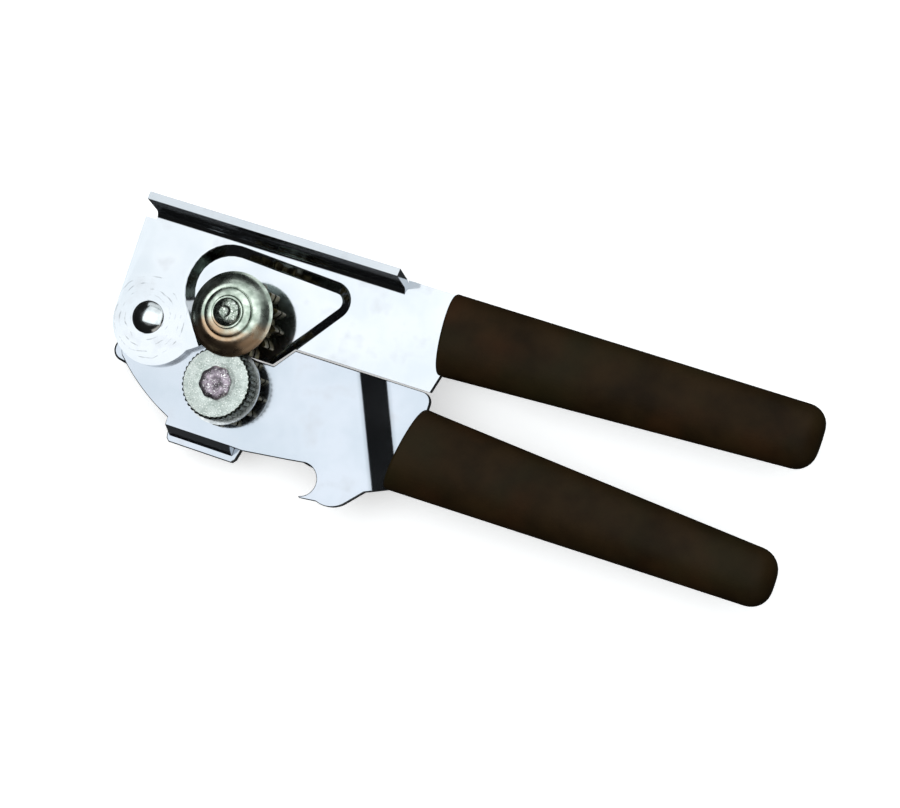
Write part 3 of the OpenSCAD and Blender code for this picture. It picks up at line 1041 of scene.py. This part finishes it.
@dataclass
class CutterSet:
    """The geared cutter: a shallow dome with a keen edge, a ringed crown and a stud head in its middle.

    Attributes:
        palette: The finishes.
        edge_land: Height of the flat land at the cutting edge.
        bevel: The bevel's upper end, in from the cutting edge and up from the underside.
        dome_foot: The dome's foot, in from the cutting edge and up from the underside.
        dome_head: The dome's upper end, out from the sleeve and down from the top.
        dome_swell: Swell of the dome's curve, where less is fuller.
        dome_steps: Facets up the dome.
        crown: Steps of the crown, each out from the sleeve and down from the top.
        wall: Wall of the sleeve that the disc sits on.
        spun_end: The stud's spun-over end, each ring's radius and its depth below the top.
        shade: Greatest fold that is shaded smooth.
    """

    palette: Palette
    edge_land: float = 0.12
    bevel: Flat = (0.5, 0.42)
    dome_foot: Flat = (0.9, 0.75)
    dome_head: Flat = (2.6, 0.5)
    dome_swell: float = 0.9
    dome_steps: int = 5
    crown: tuple[Flat, ...] = ((2.3, 0.62), (2.15, 0.3), (1.8, 0.12), (0.9, 0.02), (0.4, 0), (0.1, 0.1), (0, 0.25))
    wall: float = 1.3
    spun_end: tuple[Flat, ...] = ((1.9, 0.16), (1.5, 0.05), (1.2, 0.25), (0.5, 0.36), (0.05, 0.38))
    shade: float = 38.0

    def disc(self) -> None:
        """Turns the domed cutter with its bevel, its dome and its stepped crown."""
        low, high = box_mm("cutter_wheel")
        edge, hub = radius("cutter_wheel"), radius("cutter_hub")
        foot, head = edge - self.dome_foot[0], hub + self.dome_head[0]
        rise = high.z - low.z - self.dome_foot[1] - self.dome_head[1]
        profile = [(hub, low.z), (edge, low.z), (edge, low.z + self.edge_land)]
        profile.append((edge - self.bevel[0], low.z + self.bevel[1]))
        for a in quarter(self.dome_steps):
            r = foot - (foot - head) * a / (math.pi / 2)
            profile.append((r, low.z + self.dome_foot[1] + rise * math.sin(a) ** self.dome_swell))
        profile += [(hub + out, high.z - down) for out, down in self.crown]
        piece = Bench.turn("cutter_dome", middle("cutter_wheel"), profile + profile[:1])
        Bench.open_bore(piece)
        Bench.seat(piece, self.shade, Body.CUTTER, self.palette.cutter_steel, "cutter_wheel")

    def stud(self) -> None:
        """Turns the stud that the cutter runs on, with its spun-over head."""
        low, high = box_mm("cutter_stud")
        shank = radius("cutter_hub") - self.wall
        waist = shank - 0.45
        seat = box_mm("cutter_hub")[1].z + 0.1
        head = min(radius("cutter_stud"), shank + 0.9)
        riveted = [(0.4, low.z), (shank * 0.8, low.z + 0.25), (shank + 0.7, low.z + 0.9), (shank + 0.75, low.z + 1.4)]
        stem = [(waist, low.z + 1.55), (waist, low.z + 4), (shank, low.z + 4.1), (shank, seat)]
        rim = [(head - 0.1, seat), (head, seat + 0.15), (head - 0.1, seat + 0.5), (head - 0.55, seat + 0.85)]
        spun = [(r, high.z - down) for r, down in self.spun_end]
        piece = Bench.turn("cutter_stud_head", middle("cutter_stud"), riveted + stem + rim + spun)
        Bench.seat(piece, self.shade, Body.UPPER, self.palette.stud_steel, "cutter_stud")

    def build(self) -> None:
        """Builds the cutter's pieces and dresses the frame's own."""
        self.disc()
        self.stud()
        Gear("cutter_gear", "cutter_gear_teeth", Body.CUTTER).build(self.palette.gear_steel)
        self.palette.cutter_steel.dress(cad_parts["cutter_hub"])
        washers = [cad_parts[node] for node in ("cutter_thrust_washer", "cutter_back_washer")]
        self.palette.washer_steel.dress(*washers)


@dataclass
class FeedSet:
    """The drive: a serrated feed wheel, its collar and gear, and the shaft with its peened end.

    Attributes:
        palette: The finishes.
        serrations: Teeth round the feed wheel.
        crest: Half of a tooth's crest, as a share of the tooth's pitch.
        depth: Depth of a serration.
        chamfer: Chamfer at the wheel's back rim.
        neck: Radius of the shaft's neck under the peened end.
        key_square: Radius of the shaft inside the key.
        journal: Radius of the shaft in its bushes.
        facets: Facets round the shaft.
        blows: Hammer marks round the peened end.
        dent: Depth of a mark, as a share of the radius.
        wobble: Unevenness of the marks, as a share of the radius.
        wheel_shade: Greatest fold of the wheel that is shaded smooth.
        shaft_shade: Greatest fold of the shaft that is shaded smooth.
        shaded_side_level: How level a face of the wheel is at most where it takes the dark knurl finish, painted
            shade on the wheel's steep sides.
    """

    palette: Palette
    serrations: int = 40
    crest: float = 0.18
    depth: float = 0.5
    chamfer: float = 0.2
    neck: float = 3.4
    key_square: float = 3.6
    journal: float = 4.0
    facets: int = 64
    blows: int = 8
    dent: float = 0.035
    wobble: float = 0.02
    wheel_shade: float = 38.0
    shaft_shade: float = 34.0
    shaded_side_level: float = 0.8

    def serrated(self, axis: Vector, outer: float, depth: float, z: float) -> list[Point]:
        """One ring of the serrated wheel: a flat-crested tooth and a V between, all round.

        Args:
            axis: A point of the wheel's axis.
            outer: Radius at the crests.
            depth: Depth of the V here.
            z: Height of the ring.

        Returns:
            The ring's points.
        """
        points = []
        for tooth in range(self.serrations):
            for turn, r in ((-self.crest, outer), (self.crest, outer), (0.5, outer - depth)):
                a = 2 * math.pi * (tooth + turn) / self.serrations
                points.append((axis.x + r * math.cos(a), axis.y + r * math.sin(a), z))
        return points

    def wheel(self) -> None:
        """Builds the feed wheel with chamfered serrations and a shallow dish in its face."""
        low, high = box_mm("feed_wheel")
        outer = radius("feed_wheel")
        rows = [
            (self.neck, 0.0, low.z),
            (outer - self.chamfer - self.depth, 0.0, low.z),
            (outer - self.chamfer, self.depth, low.z + 0.02),
            (outer, self.depth, low.z + self.chamfer),
            (outer, self.depth, high.z - 0.6),
            (outer - self.depth + 0.02, 0.02, high.z - 0.12),
            (outer - self.depth - 0.15, 0.0, high.z),
            (self.neck + 1.9, 0.0, high.z),
            (self.neck + 1.6, 0.0, high.z - 0.12),
            (self.neck, 0.0, high.z - 0.12),
        ]
        rings = [self.serrated(middle("feed_wheel"), *row) for row in rows]
        piece = Bench.loft("feed_wheel_serrated", rings + rings[:1])
        Bench.open_bore(piece)
        Bench.seat(piece, self.wheel_shade, Body.CRANK, self.palette.feed_steel, "feed_wheel")
        # The steep sides of the wheel take the dark knurl finish: painted shade, as they face away from the overhead
        # light.
        piece.data.materials.append(self.palette.knurl_shade_steel.make())
        for face in piece.data.polygons:
            face.material_index = int(abs(face.normal.z) < self.shaded_side_level)

    def shaft(self) -> None:
        """Builds the drive shaft with its hammered end and its head behind the key."""
        low, high = box_mm("feed_shaft")
        axis = middle("feed_wheel")
        key_top, gear_top, wheel_top = (box_mm(node)[1].z for node in ("crank_key", "feed_gear", "feed_wheel"))
        back_head = [(0.3, low.z, 0), (2.4, low.z + 0.25, 0), (4.0, low.z + 0.8, 0), (4.4, low.z + 1.28, 0)]
        in_key = [(self.key_square, low.z + 1.32, 0), (self.key_square, key_top - 0.05, 0)]
        in_bushes = [(self.journal, key_top, 0), (self.journal, gear_top, 0)]
        in_wheel = [(self.neck, gear_top + 0.05, 0), (self.neck, wheel_top - 0.05, 0)]
        peened = [(4.15, wheel_top + 0.02, 0.5), (4.3, wheel_top + 0.3, 1), (3.9, wheel_top + 0.62, 1)]
        peened += [(3.1, wheel_top + 0.84, 0.8), (2.0, high.z - 0.2, 0.5), (1.5, high.z - 0.3, 0.2)]
        dimple = [(0.9, high.z - 0.42, 0), (0.1, high.z - 0.45, 0)]
        rings = []
        for r, z, beaten in back_head + in_key + in_bushes + in_wheel + peened + dimple:
            ring = []
            for a in around(self.facets):
                marks = self.dent * (1 + math.cos(self.blows * a)) + self.wobble * math.sin(3 * a + 1)
                hit = r * (1 - beaten * marks)
                ring.append((axis.x + hit * math.cos(a), axis.y + hit * math.sin(a), z))
            rings.append(ring)
        piece = Bench.loft("drive_shaft_peened", rings)
        Bench.seat(piece, self.shaft_shade, Body.CRANK, self.palette.shaft_steel, "feed_shaft")

    def build(self) -> None:
        """Builds the drive's pieces and dresses the frame's own."""
        Gear("feed_gear", "feed_gear_teeth", Body.CRANK).build(self.palette.gear_steel)
        self.wheel()
        self.shaft()
        washers = [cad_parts[node] for node in ("feed_collar", "feed_thrust_washer", "crank_washer")]
        self.palette.washer_steel.dress(*washers)
        self.palette.bronze.dress(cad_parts["feed_bushing"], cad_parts["rear_bushing"])


# ---------------------------------------------------------------------------------------------- the studio


@dataclass(frozen=True)
class Panel:
    """A soft light panel.

    Attributes:
        name: Name of the light.
        place: Its middle, in metres.
        target: What it faces, in metres.
        size: Its two sides, in metres.
        radiance: How bright its face looks, with 1 as white.
        tint: sRGB hex of its colour.
    """

    name: str
    place: Point
    target: Point
    size: Flat
    radiance: float
    tint: str

    def hang(self) -> None:
        """Adds the panel to the scene."""
        data = bpy.data.lights.new(self.name, "AREA")
        data.shape = "RECTANGLE"
        data.size, data.size_y = self.size
        data.energy = self.radiance * math.pi * self.size[0] * self.size[1]
        data.color = hex_to_linear(self.tint)[:3]
        light = bpy.data.objects.new(self.name, data)
        away = (Vector(self.place) - Vector(self.target)).normalized()
        light.matrix_world = Matrix.Translation(self.place) @ away.to_track_quat("Z", "Y").to_matrix().to_4x4()
        bpy.context.scene.collection.objects.link(light)


@dataclass
class Studio:
    """Floor, light and camera.

    Attributes:
        aim: What the camera looks at, in the frame's millimetres.
        tilt: Lean of the line of sight from upright.
        around: Direction of that lean, from +X.
        roll: Turn of the picture's upright from +Y.
        distance: From the camera to its aim.
        lens: Focal length.
        sensor: Width of the sensor.
        floor_wide: Side of the floor, in metres.
        floor_drop: Gap under the opener, so that its key's rims don't lie in the floor.
        floor_glow: Light that the floor gives off, where the camera looks straight at it.
        backdrop: Brightness behind the floor, where the camera looks straight at it.
        room: Brightness of the dark room and of its dim ceiling.
        ceiling: Height of a direction at which the ceiling starts and at which it is full, with 1 as straight up.
        panels: The lights.
    """

    aim: Point = (2.15, 3.06, 16.9)
    tilt: float = 18.0
    around: float = -5.0
    roll: float = 19.26
    distance: float = 700.0
    lens: float = 114.5
    sensor: float = 36.0
    floor_wide: float = 6.0
    floor_drop: float = 0.2
    floor_glow: float = 0.5
    backdrop: float = 0.9
    room: Flat = (0.012, 0.5)
    ceiling: Flat = (0.8, 0.95)
    panels: tuple[Panel, ...] = (
        Panel("overhead softbox", (0.17, 0.4, 0.95), (0.17, 0.4, 0.0), (1.8, 1.6), 1.55, "f6fbfd"),
        Panel("wall of light", (0.0, 1.35, 0.7), (0.0, 0.0, 0.1), (2.2, 0.5), 1.2, "f6fbfd"),
        Panel("side strip", (1.06, -0.9, 0.72), (0.0, 0.0, 0.0), (1.7, 0.8), 0.55, "fff8f0"),
    )

    def camera(self) -> None:
        """Sets the camera."""
        lean, turn, roll = (math.radians(v) for v in (self.tilt, self.around, self.roll))
        back = Vector((math.sin(lean) * math.cos(turn), math.sin(lean) * math.sin(turn), math.cos(lean)))
        upright = Vector((-math.sin(roll), math.cos(roll), 0.0))
        up = (upright - back * upright.dot(back)).normalized()
        right = up.cross(back)
        place = (Vector(self.aim) + back * self.distance) * MM
        data = bpy.data.cameras.new("camera")
        data.lens = self.lens
        data.sensor_width = self.sensor
        data.clip_start = 0.01
        camera = bpy.data.objects.new("camera", data)
        camera.matrix_world = Matrix.Translation(place) @ Matrix((right, up, back)).transposed().to_4x4()
        bpy.context.scene.collection.objects.link(camera)
        bpy.context.scene.camera = camera

    def floor(self) -> None:
        """A broad sheet of paper that glows to the camera like a light table, and stays grey in the chrome, so that
        every rolled edge keeps its thin dark line."""
        bpy.ops.object.select_all(action="DESELECT")
        bpy.ops.mesh.primitive_plane_add(size=self.floor_wide, location=(0, 0, -self.floor_drop * MM))
        floor = bpy.context.object
        floor.name = "studio_floor"
        material = bpy.data.materials.new("pale paper")
        material.use_nodes = True
        tree = material.node_tree
        tree.nodes.clear()
        paper = add_node(tree, "ShaderNodeBsdfDiffuse", {"Color": hex_to_linear("fcfcfc")})
        glow = add_node(tree, "ShaderNodeEmission", {"Strength": self.floor_glow})
        dim = add_node(tree, "ShaderNodeBsdfDiffuse", {"Color": hex_to_linear("484848")})
        lit = add_node(tree, "ShaderNodeAddShader", in0=paper.outputs[0], in1=glow.outputs[0])
        direct = add_node(tree, "ShaderNodeLightPath").outputs["Is Camera Ray"]
        mix = add_node(tree, "ShaderNodeMixShader", in0=direct, in1=dim.outputs[0], in2=lit.outputs[0])
        add_node(tree, "ShaderNodeOutputMaterial", surface=mix.outputs[0])
        floor.data.materials.append(material)

    def surroundings(self) -> None:
        """A dark room with a dim ceiling, and a pale backdrop where the camera looks straight at it."""
        world = bpy.data.worlds.new("studio")
        bpy.context.scene.world = world
        world.use_nodes = True
        tree = world.node_tree
        tree.nodes.clear()
        white = hex_to_linear("ffffff")
        direction = add_node(tree, "ShaderNodeTexCoord").outputs["Generated"]
        height = add_node(tree, "ShaderNodeSeparateXYZ", vector=direction).outputs["Z"]
        limits = dict(zip(("From Min", "From Max", "To Min", "To Max"), self.ceiling + self.room))
        glow = add_node(tree, "ShaderNodeMapRange", limits, value=height).outputs["Result"]
        room = add_node(tree, "ShaderNodeBackground", {"Color": white}, strength=glow)
        pale = add_node(tree, "ShaderNodeBackground", {"Color": white, "Strength": self.backdrop})
        direct = add_node(tree, "ShaderNodeLightPath").outputs["Is Camera Ray"]
        mix = add_node(tree, "ShaderNodeMixShader", in0=direct, in1=room.outputs[0], in2=pale.outputs[0])
        add_node(tree, "ShaderNodeOutputWorld", surface=mix.outputs[0])

    def build(self) -> None:
        """Builds the studio."""
        self.camera()
        self.floor()
        self.surroundings()
        for panel in self.panels:
            panel.hang()


# ---------------------------------------------------------------------------------------------- everything


def mix_finishes() -> Palette:
    """Mixes every finish of the opener, on the frame's own axes.

    Returns:
        The finishes.
    """
    # Chromium over nickel on stamped sheet: cool, almost a mirror, with soft smudges and wear at the pivot.
    chrome = ChromePlate(
        "chrome plate", Slot.CHROME, "bdc0c4", "b2b7bc", rough=(0.06, 0.13), grain_mm=14, relief_mm=0.002,
        wear_centre=tuple(middle("pivot_rivet") * MM), wear_mm=11.5,
    )
    return Palette(
        chrome=chrome,
        # The same plate made darker, bluer and hazier: painted shade, so that it reads a tone under the upper arm.
        shaded_chrome=replace(
            chrome, name="chrome plate with painted shade", light="adb2ba", dark="a3aab2", rough=(0.1, 0.18), wear_mm=0.1
        ),
        # Plastisol dip: nearly black brown, soft and satin, with a slow wave left by the dripping.
        vinyl=DippedVinyl(
            "dipped vinyl", Slot.VINYL, "2c2011", "1f160b", metallic=0.0, rough=(0.42, 0.58), grain_mm=11,
            relief_mm=0.02, relief_grain_mm=0.5,
        ),
        # Hardened tool steel off the lathe: greenish grey rings that catch the light, and a tan tone over one side.
        cutter_steel=TurnedSteel(
            "hardened cutter steel", Slot.CUTTER, "cdd7cb", "8f9b8f", rough=(0.2, 0.36), grain_mm=2.4,
            relief_mm=0.012, centre=tuple(middle("cutter_wheel") * MM),
        ),
        # Mild steel spun over by a riveting tool: bright grey-green, pitted and a little lumpy.
        stud_steel=SpeckledPlate(
            "spun stud steel", Slot.RIVET, "a3ada2", "5f6a60", rough=(0.16, 0.34), grain_mm=1.0, relief_mm=0.05,
            relief_grain_mm=0.6,
        ),
        # Cut steel left bare: olive-brown tarnish with only a dull gleam on the teeth.
        gear_steel=Finish("tarnished gear steel", Slot.GEAR, "6f6545", "3a3424", rough=(0.3, 0.5), grain_mm=1.6),
        # Zinc plate gone dull: pale, almost matt, and speckled by its crystals.
        feed_steel=SpeckledPlate(
            "dull zinc plate", Slot.FEED, "d2dad5", "afbab4", metallic=0.55, rough=(0.35, 0.5), grain_mm=2.5,
            relief_mm=0.03, relief_grain_mm=0.35,
        ),
        # The knurl's flanks: dark green-black with a wet gleam, painted shade on the feed wheel's steep sides.
        knurl_shade_steel=Finish("knurl steel with painted shade", Slot.FEED, "5d655c", "15180f", rough=(0.18, 0.4), grain_mm=1.1),
        # Mild steel beaten over with a hammer: a warm violet-grey, dented and grainy.
        shaft_steel=SpeckledPlate(
            "peened shaft steel", Slot.SHAFT, "a79ba6", "5f565f", metallic=0.9, rough=(0.25, 0.45), grain_mm=1.2,
            relief_mm=0.06, relief_grain_mm=0.5,
        ),
        # Nickel-plated rivet, set by a polished die: a small clean mirror.
        rivet_steel=Finish(
            "plated rivet", Slot.RIVET, "dfe3e4", "b9bec0", rough=(0.1, 0.2), grain_mm=3, relief_mm=0.004
        ),
        # Plain stamped washers: light grey with a broken gloss.
        washer_steel=Finish("washer steel", Slot.WASHER, "c9cccd", "9da1a3", rough=(0.2, 0.35), grain_mm=2),
        # Sintered bronze bushes: warm brown-yellow, dull and finely porous.
        bronze=Finish("sintered bronze", Slot.BRONZE, "c79a5a", "8d6a38", rough=(0.35, 0.5), grain_mm=0.8),
    )


def main() -> None:
    """Builds the studio and every sub-assembly in order."""
    logging.basicConfig(level=logging.INFO, format="%(message)s")
    bpy.context.scene.view_settings.view_transform = "Standard"
    palette = mix_finishes()
    Studio().build()
    SheetWork(palette).build()
    Grip.on_frame("upper_grip", Body.UPPER, slant=1.8, end_wide=15.8, fall=0.0).build(palette.vinyl)
    Grip.on_frame("lower_grip", Body.LOWER, slant=-3.8, end_wide=14.0, fall=6.8).build(palette.vinyl)
    Pivot(palette).build()
    CutterSet(palette).build()
    FeedSet(palette).build()


if __name__ == "__main__":
    main()
